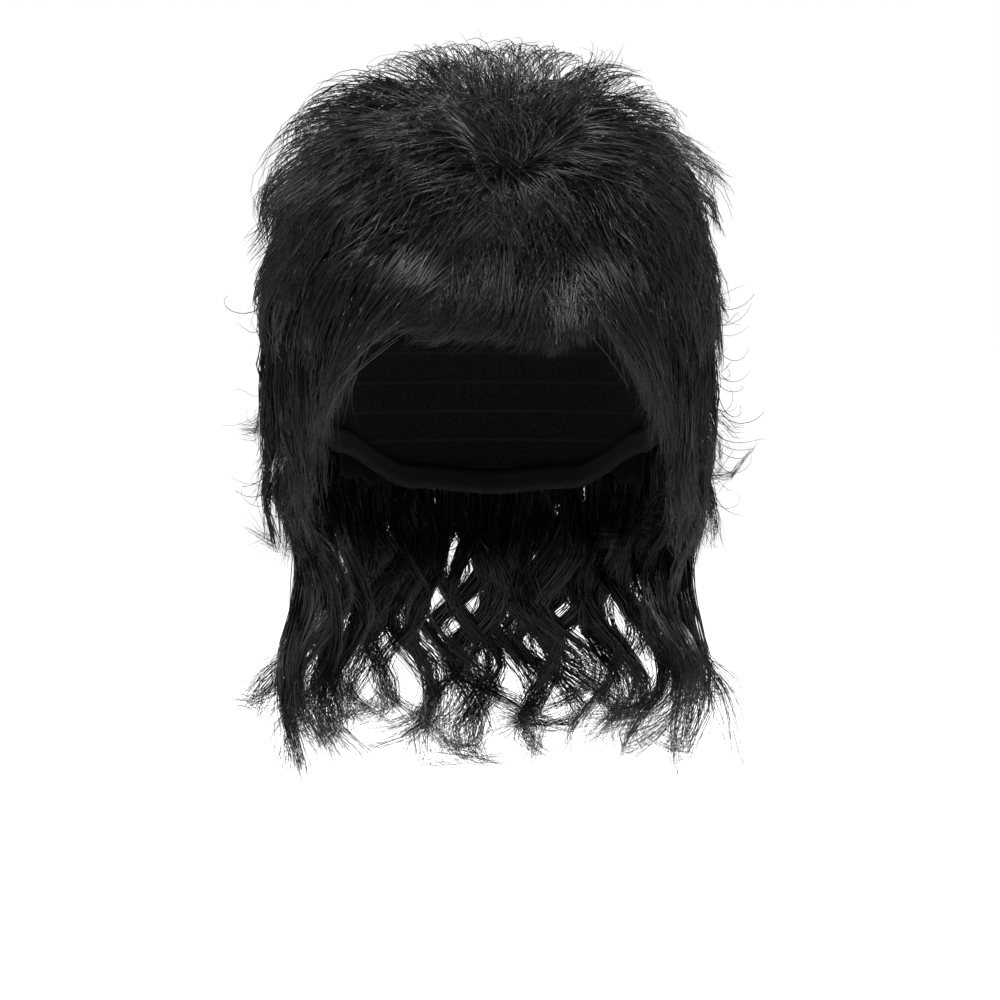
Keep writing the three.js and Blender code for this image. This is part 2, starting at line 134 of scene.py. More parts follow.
# The crown hair's reach from the whorl, in degrees, and its rise as a share of CROWN_RISE
CROWN_SPREAD = [
    {"bearing": 0, "reach": 12, "rise": 0.25},
    {"bearing": 48, "reach": 20, "rise": 0.45},
    {"bearing": 70, "reach": 46, "rise": 0.85},
    {"bearing": 95, "reach": 58, "rise": 1},
    {"bearing": 135, "reach": 83, "rise": 1},
    {"bearing": 180, "reach": 94, "rise": 1},
]

# The rise of the dense crown hair from the whorl out, and past its rim, as a share of the piece's rise
CROWN_DOME = [
    {"along": 0, "rise": 0.1},
    {"along": 0.3, "rise": 0.85},
    {"along": 0.55, "rise": 1},
    {"along": 0.85, "rise": 0.85},
    {"along": 1, "rise": 0.6},
    {"along": 1.6, "rise": 0.35},
]

# The thickness of dense hanging hair from root to hem, as a share of its greatest
CURTAIN_SHAPE = [
    {"along": 0, "thickness": 0.8},
    {"along": 0.35, "thickness": 1},
    {"along": 0.75, "thickness": 0.85},
    {"along": 1, "thickness": 0.25},
]

# The head and neck that falling hair follows below the widest ring, as shares of the tail's drop
# and of the head's half breadth and half length
FALL = [
    {"drop": 0.36, "side": 1, "back": 1},
    {"drop": 0.53, "side": 0.98, "back": 0.95},
    {"drop": 0.66, "side": 0.86, "back": 0.85},
    {"drop": 0.82, "side": 0.94, "back": 0.92},
    {"drop": 1, "side": 0.92, "back": 1},
]

# How far crown tips stand off, by bearing round the whorl, as a share of TIP_LIFT
CROWN_UPRIGHT = [(40, 0.12), (70, 0.45), (110, 1.05), (148, 1.75), (164, 1.5), (180, 0.3)]

# How curly the crown is, by bearing round the whorl: smooth in front, where the fringe begins
CROWN_TOUSLE = [(40, 0.1), (80, 1)]

# How far down hair ends over the forehead and the temples, by bearing
FRINGE_ENDS = [
    (-58, 118), (-47, 102), (-41, 87), (-33, 80), (-23, 78),
    (17, 79), (34, 77), (41, 85), (47, 102), (58, 118),
]
TEMPLE_ENDS = [(36, 74), (40, 84), (44, 95), (47, 104), (50, 113), (55, 123), (66, 136)]

# How far the fringe's tips turn aside, in radians, and how much of its drop is dense, by bearing
FRINGE_SWEEP = [(-58, 0), (-44, -0.2), (-32, -1.2), (10, -1.2), (30, -0.7), (42, 0.1), (58, 0)]
FRINGE_DENSE = [(34, 0.68), (50, 0.94)]

# Layers of hanging hair. Roots start at a share of the way down to the cap's edge, and locks and the dense
# hair's hem end at a share of drop. hold is how closely strands gather in their lock.
HANGING = {
    "sideburn": {
        "drop": SIDEBURN_DROP, "start": (0.5, 0.9), "ends": (0.84, 1.03), "locks": 14, "strands": 340,
        "flick": 0, "curl": 2.5, "hold": (0.3, 0.8), "dense_top": 52, "hem": 0.7, "grid": (14, 24),
    },
    "side_hair": {
        "drop": SIDE_DROP, "start": (0.45, 0.95), "ends": (0.72, 1.03), "locks": 34, "strands": 1200,
        "flick": 0.8 * FLICK, "curl": 6, "hold": (0.45, 0.95),
        "dense_top": 48, "hem": 0.62, "grid": (28, 28),
    },
    "back_hair": {
        "drop": BACK_DROP, "start": (0.5, 0.95), "ends": (0.62, 1.04), "locks": 76, "strands": 2000,
        "flick": FLICK, "curl": 4.5, "hold": (0.4, 0.9), "dense_top": 50, "hem": 0.74, "grid": (56, 28),
    },
}

# A lock from root to tip, as shares of its width and thickness
LOCK_SHAPE = [
    {"along": 0, "width": 0.6},
    {"along": 0.2, "width": 0.95},
    {"along": 0.5, "width": 1},
    {"along": 0.75, "width": 0.75},
    {"along": 1, "width": 0.12},
]

TAIL_BUNCHES = [
    {"name": "tail_left", "start": 94, "end": 124, "drop": 0.965, "phase": 0.1},
    {"name": "tail_back_left", "start": 125, "end": 161, "drop": 0.99, "phase": 0.45},
    {"name": "tail_middle", "start": 162, "end": 198, "drop": 1, "phase": 0.75},
    {"name": "tail_back_right", "start": 199, "end": 235, "drop": 0.985, "phase": 0.3},
    {"name": "tail_right", "start": 236, "end": 266, "drop": 0.97, "phase": 0.6},
]


def unit(vectors):
    return vectors / np.maximum(np.linalg.norm(vectors, axis=-1, keepdims=True), 1e-9)


def ease(share):
    share = np.clip(share, 0, 1)
    return share * share * (3 - 2 * share)


def read_table(table, place, column, at):
    """One column of a table at places between its rows, eased from row to row."""
    places = np.array([row[place] for row in table], float)
    values = np.array([row[column] for row in table], float)
    row = np.clip(np.searchsorted(places, at, side="right") - 1, 0, len(places) - 2)
    share = ease((at - places[row]) / (places[row + 1] - places[row]))
    return values[row] + (values[row + 1] - values[row]) * share


def read_line(line, at):
    """A value at places between the (place, value) corners of a line."""
    return np.interp(at, *zip(*line))


class Draws:
    """Random values for a number of hairs or locks at once."""

    def __init__(self, rng, count):
        self.rng, self.count = rng, count

    def even(self, low, high):
        return self.rng.uniform(low, high, self.count)

    def near(self, middle, spread):
        return self.rng.normal(middle, spread, self.count)

    def chance(self, share):
        return self.even(0, 1) < share


def fold_bearing(bearing):
    return np.abs((np.asarray(bearing, float) + 180) % 360 - 180)


def cap_edge(bearing):
    return read_table(CAP_EDGE, "bearing", "polar", fold_bearing(bearing))


def direction_at(polar, bearing):
    p, b = np.broadcast_arrays(np.radians(polar), np.radians(bearing))
    return np.stack([np.sin(p) * np.sin(b), -np.sin(p) * np.cos(b), np.cos(p)], -1)


WHORL = direction_at(WHORL_POLAR, WHORL_BEARING)
WHORL_FRONT = direction_at(WHORL_POLAR + 90, WHORL_BEARING)
WHORL_LEFT = np.cross(WHORL, WHORL_FRONT)


def direction_from_whorl(angle, bearing):
    a, b = np.broadcast_arrays(np.radians(angle), np.radians(bearing))
    a, b = a[..., None], b[..., None]
    return np.cos(a) * WHORL + np.sin(a) * (np.cos(b) * WHORL_FRONT + np.sin(b) * WHORL_LEFT)


def head_place(direction, offset):
    """Points off the head in these directions, and the ways out of it."""
    axes = np.array([HALF_BREADTH, HALF_LENGTH, CROWN_DEPTH])
    out = unit(direction / axes)
    point = direction * axes + out * np.asarray(offset, float)[..., None]
    return point - np.array([0, 0, CROWN_DEPTH]), out


def fall_place(bearing, drop, offset):
    """Points on the column that hair falls down below the widest ring, and the ways out of it."""
    b = np.radians(bearing)
    share = np.maximum(drop / TAIL_DROP, FALL[0]["drop"])
    side = HALF_BREADTH * read_table(FALL, "drop", "side", share)
    back = HALF_LENGTH * read_table(FALL, "drop", "back", share)
    out = unit(np.stack([np.sin(b) / side, -np.cos(b) / back, np.zeros_like(share)], -1))
    point = np.stack([side * np.sin(b), -back * np.cos(b), -drop], -1)
    return point + out * np.asarray(offset, float)[..., None], out


def drop_at_arc(arc):
    return CROWN_DEPTH * np.where(arc < 90, 1 - np.cos(np.radians(arc)), 1 + np.radians(arc - 90))


def arc_at_drop(drop):
    share = np.asarray(drop, float) / CROWN_DEPTH
    above = np.degrees(np.arccos(np.clip(1 - share, -1, 1)))
    return np.where(share < 1, above, 90 + np.degrees(share - 1))


def hang_place(bearing, arc, offset):
    bearing, arc, offset = np.broadcast_arrays(bearing, arc, offset)
    above, above_out = head_place(direction_at(np.minimum(arc, 90), bearing), offset)
    below, below_out = fall_place(bearing, drop_at_arc(arc), offset)
    low = (arc >= 90)[..., None]
    return np.where(low, below, above), np.where(low, below_out, above_out)


def drape_place(direction, offset):
    above, above_out = head_place(direction, offset)
    bearing = np.degrees(np.arctan2(direction[..., 0], -direction[..., 1]))
    drop = CROWN_DEPTH * (1 + np.arcsin(np.clip(-direction[..., 2], 0, 1)))
    below, below_out = fall_place(bearing, drop, offset)
    low = (direction[..., 2] < 0)[..., None]
    return np.where(low, below, above), np.where(low, below_out, above_out)


def crown_offset(angle, bearing):
    """How far the dense crown hair stands off the head at an angle from the whorl."""
    folded = fold_bearing(bearing)
    along = angle / read_table(CROWN_SPREAD, "bearing", "reach", folded)
    rise = CROWN_RISE * read_table(CROWN_SPREAD, "bearing", "rise", folded)
    return CAP_SKIN + ROOT_LAYER + rise * read_table(CROWN_DOME, "along", "rise", along)


def hang_thickness(bearing):
    """How thick dense hanging hair is at its thickest."""
    folded = fold_bearing(bearing)
    to_side = ease((folded - FRINGE_SPREAD) / (SIDEBURN_END - FRINGE_SPREAD))
    side = FRINGE_RISE + (SIDE_RISE - FRINGE_RISE) * to_side
    to_back = ease((folded - SIDEBURN_END) / ((SIDE_END + 180) / 2 - SIDEBURN_END))
    return ROOT_LAYER + side + (BACK_RISE - side) * to_back


# Node groups and materials


def node_group(name, inputs, outputs):
    """An empty shader node group with named sockets, and its input and output nodes."""
    group = bpy.data.node_groups.new(name, "ShaderNodeTree")
    for label, kind, value in inputs:
        socket = group.interface.new_socket(name=label, in_out="INPUT", socket_type=kind)
        if value is not None:
            socket.default_value = value
    for label, kind in outputs:
        group.interface.new_socket(name=label, in_out="OUTPUT", socket_type=kind)
    return group, group.nodes.new("NodeGroupInput"), group.nodes.new("NodeGroupOutput")


def math_node(nodes, links, operation, first, second):
    node = nodes.new("ShaderNodeMath")
    node.operation = operation
    for socket, value in zip(node.inputs, (first, second)):
        if isinstance(value, (int, float)):
            socket.default_value = value
        else:
            links.new(value, socket)
    return node.outputs[0]


def make_fibre_streaks():
    """Fine streaks that run with the hair. Flow's x and y count fibres across, and z runs along them."""
    group, start, end = node_group(
        "fibre_streaks",
        [("Flow", "NodeSocketVector", None), ("Fineness", "NodeSocketFloat", 1.0)],
        [("Tone", "NodeSocketFloat"), ("Height", "NodeSocketFloat")],
    )
    nodes, links = group.nodes, group.links
    scaled = nodes.new("ShaderNodeVectorMath")
    scaled.operation = "SCALE"
    links.new(start.outputs["Flow"], scaled.inputs[0])
    links.new(start.outputs["Fineness"], scaled.inputs["Scale"])
    fine = nodes.new("ShaderNodeTexNoise")
    fine.inputs["Scale"].default_value = 1.0
    fine.inputs["Detail"].default_value = 3.0
    fine.inputs["Roughness"].default_value = 0.7
    links.new(scaled.outputs[0], fine.inputs["Vector"])
    broad = nodes.new("ShaderNodeTexNoise")
    broad.inputs["Scale"].default_value = 0.14
    broad.inputs["Detail"].default_value = 1.0
    links.new(scaled.outputs[0], broad.inputs["Vector"])
    both = math_node(nodes, links, "MULTIPLY", fine.outputs[0], broad.outputs[0])
    tone = math_node(nodes, links, "MULTIPLY", both, 1.9)
    links.new(tone, end.inputs["Tone"])
    links.new(fine.outputs[0], end.inputs["Height"])
    return group


def make_net():
    """Threads with small holes between them, and rows sewn over them, for the cap and the elastic.
    Flow's z counts the rows."""
    group, start, end = node_group(
        "sewn_net",
        [("Position", "NodeSocketVector", None), ("Flow", "NodeSocketVector", None),
         ("Cells per metre", "NodeSocketFloat", 500.0), ("Row share", "NodeSocketFloat", 0.2)],
        [("Tone", "NodeSocketFloat"), ("Height", "NodeSocketFloat")],
    )
    nodes, links = group.nodes, group.links
    cells = nodes.new("ShaderNodeTexVoronoi")
    cells.feature = "DISTANCE_TO_EDGE"
    links.new(start.outputs["Position"], cells.inputs["Vector"])
    links.new(start.outputs["Cells per metre"], cells.inputs["Scale"])
    threads = nodes.new("ShaderNodeMapRange")
    threads.inputs["From Min"].default_value = 0.22
    threads.inputs["From Max"].default_value = 0.06
    links.new(cells.outputs["Distance"], threads.inputs["Value"])
    split = nodes.new("ShaderNodeSeparateXYZ")
    links.new(start.outputs["Flow"], split.inputs[0])
    place = math_node(nodes, links, "FRACT", split.outputs["Z"], 0.0)
    away = math_node(nodes, links, "ABSOLUTE", math_node(nodes, links, "SUBTRACT", place, 0.5), 0.0)
    row = nodes.new("ShaderNodeMapRange")
    row.interpolation_type = "SMOOTHSTEP"
    links.new(start.outputs["Row share"], row.inputs["From Min"])
    row.inputs["From Max"].default_value = 0.02
    links.new(away, row.inputs["Value"])
    tone = math_node(nodes, links, "MULTIPLY", threads.outputs[0], 0.55)
    tone = math_node(nodes, links, "MAXIMUM", tone, row.outputs[0])
    links.new(tone, end.inputs["Tone"])
    links.new(tone, end.inputs["Height"])
    return group


FIBRE_STREAKS = make_fibre_streaks()
SEWN_NET = make_net()


def new_material(name):
    material = bpy.data.materials.new(name)
    material.use_nodes = True
    return material, material.node_tree.nodes, material.node_tree.links


def flow_attribute(nodes):
    node = nodes.new("ShaderNodeAttribute")
    node.attribute_name = "flow"
    return node.outputs["Vector"]


def color_ramp(nodes, links, factor, stops):
    ramp = nodes.new("ShaderNodeValToRGB")
    for element, (position, color) in zip(ramp.color_ramp.elements, stops):
        element.position = position
        element.color = (*color, 1)
    links.new(factor, ramp.inputs["Fac"])
    return ramp.outputs["Color"]


def add_relief(nodes, links, height, strength):
    relief = nodes.new("ShaderNodeBump")
    relief.inputs["Strength"].default_value = strength
    relief.inputs["Distance"].default_value = 0.4 * MM
    links.new(height, relief.inputs["Height"])
    links.new(relief.outputs["Normal"], nodes["Principled BSDF"].inputs["Normal"])


def make_hair(name, dark, light, rough, fineness, bump, gloss):
    """Black synthetic fibre: fine streaks in tone and gloss, and in relief on the dense hair."""
    material, nodes, links = new_material(name)
    shader = nodes["Principled BSDF"]
    streaks = nodes.new("ShaderNodeGroup")
    streaks.node_tree = FIBRE_STREAKS
    streaks.inputs["Fineness"].default_value = fineness
    links.new(flow_attribute(nodes), streaks.inputs["Flow"])
    tone = streaks.outputs["Tone"]
    links.new(color_ramp(nodes, links, tone, [(0.4, dark), (0.8, light)]), shader.inputs["Base Color"])
    low, high = rough
    spread = math_node(nodes, links, "MULTIPLY", tone, high - low)
    links.new(math_node(nodes, links, "ADD", spread, low), shader.inputs["Roughness"])
    shader.inputs["Specular IOR Level"].default_value = gloss
    if bump:
        add_relief(nodes, links, streaks.outputs["Height"], bump)
    return material


def make_cloth(name, gap, thread, cells, row, bump):
    """Knitted cloth with sewn or ribbed rows: the net of the cap and the elastic of the band."""
    material, nodes, links = new_material(name)
    shader = nodes["Principled BSDF"]
    net = nodes.new("ShaderNodeGroup")
    net.node_tree = SEWN_NET
    net.inputs["Cells per metre"].default_value = cells
    net.inputs["Row share"].default_value = row
    position = nodes.new("ShaderNodeTexCoord")
    links.new(position.outputs["Object"], net.inputs["Position"])
    links.new(flow_attribute(nodes), net.inputs["Flow"])
    color = color_ramp(nodes, links, net.outputs["Tone"], [(0.1, gap), (0.9, thread)])
    links.new(color, shader.inputs["Base Color"])
    shader.inputs["Roughness"].default_value = 0.85
    shader.inputs["Sheen Weight"].default_value = 0.03
    shader.inputs["Specular IOR Level"].default_value = 0.25
    add_relief(nodes, links, net.outputs["Height"], bump)
    return material


STRAND_BLACK = make_hair(
    "strand_black", (0.0015, 0.0015, 0.0018), (0.03, 0.03, 0.034), (0.14, 0.4), 1.0, 0, 0.56
)
# Painted shade: the dense hair under the strands has darker colours and less gloss than the strands, so
# that the gaps between strands read as deep shade.
DENSE_PAINTED_SHADE = make_hair(
    "dense_painted_shade", (0.0015, 0.0015, 0.002), (0.006, 0.006, 0.0075), (0.6, 0.8), 1.0, 0.9, 0.12
)
NET_BLACK = make_cloth(
    "net_black", (0.002, 0.002, 0.002), (0.012, 0.012, 0.013), 450.0, 0.1, 0.5
)
ELASTIC_BLACK = make_cloth(
    "elastic_black", (0.003, 0.003, 0.0035), (0.016, 0.016, 0.018), 1500.0, 0.45, 0.6
)


# Meshes


def add_object(name, data):
    thing = bpy.data.objects.new(name, data)
    bpy.context.scene.collection.objects.link(thing)
    return thing


def add_piece(name, mesh, material, nodes):
    """Puts a mesh in the scene as a piece of the wig that stands for these CAD nodes."""
    mesh.materials.append(material)
    piece = add_object(name, mesh)
    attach(piece, "root")
    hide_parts(*nodes)


def closed_mesh(bm, name):
    """A smooth mesh from closed faces, which are turned outwards first."""
    bmesh.ops.recalc_face_normals(bm, faces=bm.faces[:])
    for face in bm.faces:
        face.smooth = True
    mesh = bpy.data.meshes.new(name)
    bm.to_mesh(mesh)
    bm.free()
    return mesh


def solid_sheet(columns, rows, outside, inside, flow):
    """A closed solid from a grid. outside and inside place its two faces, and flow gives the fibres'
    run, all three from shares across and along."""
    bm = bmesh.new()
    bmesh.ops.create_grid(bm, x_segments=columns, y_segments=rows, size=0.5)
    layer = bm.verts.layers.float_vector.new("flow")
    near = list(bm.verts)
    grown = bmesh.ops.extrude_face_region(bm, geom=bm.faces[:])
    far = [v for v in grown["geom"] if isinstance(v, bmesh.types.BMVert)]
    for verts, place in ((near, outside), (far, inside)):
        across = np.array([v.co.x + 0.5 for v in verts])
        along = np.array([0.5 - v.co.y for v in verts])
        for vert, point, run in zip(verts, place(across, along) * MM, flow(across, along)):
            vert.co = point
            vert[layer] = run
    return closed_mesh(bm, "sheet")


def disc_from_square(across, along):
    """Polar places on a disc of radius 1 for shares of a square, so that a grid has no pole."""
    u, v = 2 * across - 1, 1 - 2 * along
    x, y = u * np.sqrt(1 - v * v / 2), v * np.sqrt(1 - u * u / 2)
    return np.hypot(x, y), np.degrees(np.arctan2(x, -y))


def tubes(paths, width, thickness, out, sides, flow, fibres=0):
    """A mesh of closed tapered tubes, one along each path, that end in a point.

    paths is (tubes, places, 3), and width and thickness are (tubes, places). out points away from the
    head. fibres is how far the flow's count runs to either side of a tube's middle line.
    """
    count, places = paths.shape[:2]
    forward = unit(np.gradient(paths, axis=1))
    across = unit(np.cross(out, forward))
    up = np.cross(forward, across)
    turn = np.arange(sides) * 2 * math.pi / sides
    ring = paths[:, :-1, None] + (
        across[:, :-1, None] * (np.sin(turn)[:, None] * width[:, :-1, None, None] / 2)
        + up[:, :-1, None] * (np.cos(turn)[:, None] * thickness[:, :-1, None, None] / 2)
    )
    each = (places - 1) * sides + 1
    points = np.concatenate([ring.reshape(count, -1, 3), paths[:, -1:]], 1).reshape(-1, 3)
    first = (np.arange(places - 2) * sides)[:, None]
    here = np.arange(sides)
    after = (here + 1) % sides
    quads = np.stack([first + here, first + here + sides, first + after + sides, first + after], -1)
    last = (places - 2) * sides
    tips = np.stack([last + here, np.full(sides, each - 1), last + after], -1)
    roots = np.array([[0, k, k + 1] for k in range(1, sides - 1)])
    base = (np.arange(count) * each)[:, None, None]
    quads = (quads.reshape(1, -1, 4) + base).reshape(-1)
    tris = (np.concatenate([tips, roots])[None] + base).reshape(-1)
    mesh = bpy.data.meshes.new("tubes")
    mesh.vertices.add(len(points))
    mesh.vertices.foreach_set("co", (points * MM).astype(np.float32).ravel())
    corners = np.concatenate([quads, tris]).astype(np.int32)
    mesh.loops.add(len(corners))
    mesh.loops.foreach_set("vertex_index", corners)
    starts = np.concatenate([np.arange(0, len(quads), 4), len(quads) + np.arange(0, len(tris), 3)])
    mesh.polygons.add(len(starts))
    mesh.polygons.foreach_set("loop_start", starts.astype(np.int32))
    mesh.polygons.foreach_set("use_smooth", np.ones(len(starts), bool))
    runs = np.repeat(flow[:, :-1], sides, axis=1)
    runs[..., 0] += fibres * np.tile(np.sin(turn), places - 1)
    runs = np.concatenate([runs, flow[:, -1:]], 1).reshape(-1, 3)
    layer = mesh.attributes.new("flow", "FLOAT_VECTOR", "POINT")
    layer.data.foreach_set("vector", runs.astype(np.float32).ravel())
    mesh.update(calc_edges=True)
    return mesh


def strands(paths, out, rng, width=STRAND_WIDTH):
    """A mesh of fine strands: three-sided tapered tubes, each with a tone of its own. Hairs that would
    stand too far off the wig are left out."""
    low, high = np.array(CAD_BOX) / MM + np.array([[-1], [1]]) * np.array(REACH)
    kept = ((paths > low) & (paths < high)).all(axis=(1, 2))
    paths, out = paths[kept], out[kept]
    count, places = paths.shape[:2]
    t = np.linspace(0, 1, places)
    taper = np.interp(t, [0, 0.12, 0.6, 1], [0.6, 1, 0.85, 0.2])
    widths = width * rng.uniform(0.7, 1.25, (count, 1)) * taper
    length = np.linalg.norm(np.diff(paths, axis=1), axis=2).sum(1)
    flow = np.stack(
        [
            np.repeat(rng.uniform(0, 200, (count, 1)), places, 1),
            np.repeat(rng.uniform(0, 200, (count, 1)), places, 1),
            0.03 * length[:, None] * t,
        ],
        -1,
    )
    return tubes(paths, widths, widths, out, 3, flow)


def curled(points, out, size, turns, phase):
    """Points moved sideways and in and out in a curl that grows towards the tips."""
    t = np.linspace(0, 1, points.shape[1])
    across = unit(np.cross(out, unit(np.gradient(points, axis=1))))
    turn = 2 * math.pi * (turns[:, None] * t + phase[:, None])
    grow = size[:, None] * t**2
    sideways = across * (grow * np.sin(turn))[..., None]
    outward = out * (0.7 * grow * np.cos(turn))[..., None]
    return points + sideways + outward


def hooked(points, out, amount, lean, begin=0.55):
    """Points turned further and further off their run past a share of the length, as a curled tip is."""
    middles = (np.arange(points.shape[1] - 1) + 0.5) / (points.shape[1] - 1)
    steps = np.diff(points, axis=1)
    length = np.linalg.norm(steps, axis=2, keepdims=True)
    forward = unit(steps)
    across = unit(np.cross(out[:, :-1], forward))
    up = np.cross(forward, across)
    side = across * np.cos(lean)[:, None, None] + up * np.sin(lean)[:, None, None]
    turn = (amount[:, None] * np.clip((middles - begin) / (1 - begin), 0, 1) ** 1.4)[..., None]
    turned = np.cumsum(length * (forward * np.cos(turn) + side * np.sin(turn)), axis=1)
    return np.concatenate([points[:, :1], points[:, :1] + turned], 1)


def frizzed(points, out, rng, size, hook):
    """Strands with a little wander of their own, and curled tips on some of them."""
    hair = Draws(rng, len(points))
    sizes = hair.even(0.3, 1) * size
    turns = hair.even(0.8, 2.4)
    points = curled(points, out, sizes, turns, hair.even(0, 1))
    amount = np.abs(hair.near(0, hook)) * hair.chance(0.7)
    lean = np.where(hair.chance(0.5), 0, math.pi) + hair.near(0, 0.5)
    return hooked(points, out, amount, lean)


def closing(points, power):
    """Shares from root to tip that come closer together towards the tip, where hair curls most."""
    return 1 - (1 - np.linspace(0, 1, points)) ** power


def gathered(own, lock, hold):
    """Strands that start at places of their own and gather towards their lock's middle line."""
    t = np.linspace(0, 1, own.shape[1])
    return own + (lock - own) * (hold[:, None] * t**1.3)[..., None]


# The crown


def crown_paths(values, points=CROWN_POINTS):
    """Paths on top, from their roots out from the whorl, and the ways out of the head along them."""
    t = closing(points, 1.4)
    sweep = np.degrees(values["length"] / (MEAN_RADIUS + CROWN_RISE))
    angle = values["root"][:, None] + sweep[:, None] * t
    bearing = values["bearing"][:, None] + values["swing"][:, None] * t
    offset = crown_offset(angle, bearing) - values["depth"][:, None] * (1 - t) ** 1.5
    offset = offset + values["lift"][:, None] * t**1.35
    paths, out = drape_place(direction_from_whorl(angle, bearing), offset)
    paths = curled(paths, out, values["curl"], values["turns"], values["phase"])
    return hooked(paths, out, values["hook"], values["lean"]), out


def picked(values, chosen):
    return {key: column[chosen] for key, column in values.items()}


def nearest(points, centres):
    """The nearest centre for each point."""
    return np.argmin(((points[:, None] - centres[None]) ** 2).sum(-1), 1)


def crown_roots(rng, count, densest):
    """Roots spread over the crown hair: angles from the whorl, bearings round it, shares of the reach."""
    root = Draws(rng, 4 * count)
    bearing = root.even(-180, 180)
    reach = read_table(CROWN_SPREAD, "bearing", "reach", fold_bearing(bearing))
    share = np.sqrt(root.even(0, 1)) ** densest
    inner = root.chance(0.22)
    share = np.where(inner, 0.4 * root.even(0, 1), share)
    keep = root.chance((reach / CROWN_SPREAD[-1]["reach"]) ** 1.2)
    keep &= (fold_bearing(bearing) > FRINGE_SPREAD * 0.8) | (share < 0.5)
    return (share * reach)[keep][:count], bearing[keep][:count], share[keep][:count]


def crown_lift(rng, bearing, share):
    """How far tips stand off the dense hair: most where the hair stands up behind the whorl."""
    upright = read_line(CROWN_UPRIGHT, fold_bearing(bearing))
    upright = upright * (0.97 - 0.14 * np.sin(np.radians(bearing)))  # higher on the wearer's right
    lift = TIP_LIFT * upright * (1.3 - share) * rng.uniform(0.1, 1.25, len(bearing))
    return np.minimum(lift, 1.25 * TIP_LIFT)


def make_crown(rng):
    lock, hair = Draws(rng, 300), Draws(rng, 6000)
    root, bearing, share = crown_roots(rng, lock.count, 0.9)
    inward = lock.chance(0.5)
    curly = lock.chance(0.6)
    tousle = read_line(CROWN_TOUSLE, fold_bearing(bearing))
    locks = {
        "root": root,
        "bearing": bearing,
        "length": CROWN_LENGTH * lock.even(0.7, 1.15),
        "lift": crown_lift(rng, bearing, share),
        "depth": np.zeros(lock.count),
        "swing": rng.normal(0, 5 + 20 * np.exp(-root / 8)),
        "curl": tousle * np.abs(lock.near(1.4, 2)),
        "turns": lock.even(0.5, 1.3),
        "phase": lock.even(0, 1),
        "hook": tousle * np.where(curly, lock.even(1.4, 3.4), lock.even(0, 0.9)),
        "lean": np.where(inward, -math.pi / 2, lock.even(-2.6, -0.5)),
    }
    root, bearing, share = crown_roots(rng, hair.count, 0.85)
    centres = direction_from_whorl(locks["root"], locks["bearing"])
    own_lock = nearest(direction_from_whorl(root, bearing), centres)
    values = picked(locks, own_lock)
    values["root"], values["bearing"] = root, bearing
    values["length"] *= hair.even(0.75, 1.15)
    values["lift"] += hair.near(0, 1.5)
    values["swing"] += rng.normal(0, 3 + 20 * np.exp(-root / 8))
    values["depth"] = hair.even(0, 7)
    own, out = crown_paths(values)
    middle = crown_paths(locks)[0][own_lock]
    hold = np.where(hair.chance(0.25), 0.15, hair.even(0.55, 0.95))
    paths = frizzed(gathered(own, middle, hold), out, rng, 0.7, 0.35)
    sides = {"left": bearing >= 0, "right": bearing < 0}
    for side, chosen in sides.items():
        mesh = strands(paths[chosen], out[chosen], rng)
        add_piece(f"crown_strands_{side}", mesh, STRAND_BLACK, ["crown_hair"])


def make_crown_dense():
    def places(across, along):
        radius, bearing = disc_from_square(across, along)
        angle = radius * (read_table(CROWN_SPREAD, "bearing", "reach", fold_bearing(bearing)) + 4)
        return radius, bearing, angle, direction_from_whorl(angle, bearing)

    def outside(across, along):
        radius, bearing, angle, direction = places(across, along)
        groove = np.sin(np.radians(bearing) * 46 + 3 * np.sin(angle / 9))
        groove = groove * np.sin(angle / 7 + bearing / 23)
        offset = crown_offset(angle, bearing) - 4.5 + 1.3 * groove * radius
        return drape_place(direction, offset)[0]

    def inside(across, along):
        direction = places(across, along)[3]
        return drape_place(direction, np.full(len(across), CAP_SKIN))[0]

    def flow(across, along):
        _, bearing, angle, _ = places(across, along)
        b = np.radians(bearing)
        return np.stack([60 * np.cos(b), 60 * np.sin(b), angle / 20], -1)

    mesh = solid_sheet(56, 56, outside, inside, flow)
    add_piece("crown_dense", mesh, DENSE_PAINTED_SHADE, ["crown_hair"])


# Hanging hair


def hang_paths(values, points=HANGING_POINTS):
    """Paths that fall from start to end round the head, and the ways out of it along them."""
    t = closing(points, 1.25)
    arc = values["start"][:, None] * (1 - t) + values["end"][:, None] * t
    bearing = values["bearing"][:, None] + values["swing"][:, None] * t**2
    over = read_table(CURTAIN_SHAPE, "along", "thickness", 0.8 * t)
    offset = CAP_SKIN + values["thickness"][:, None] * over + values["flick"][:, None] * t**4
    paths, out = hang_place(bearing, arc, offset)
    paths = curled(paths, out, values["curl"], values["turns"], values["phase"])
    return hooked(paths, out, values["hook"], values["lean"], 0.6), out


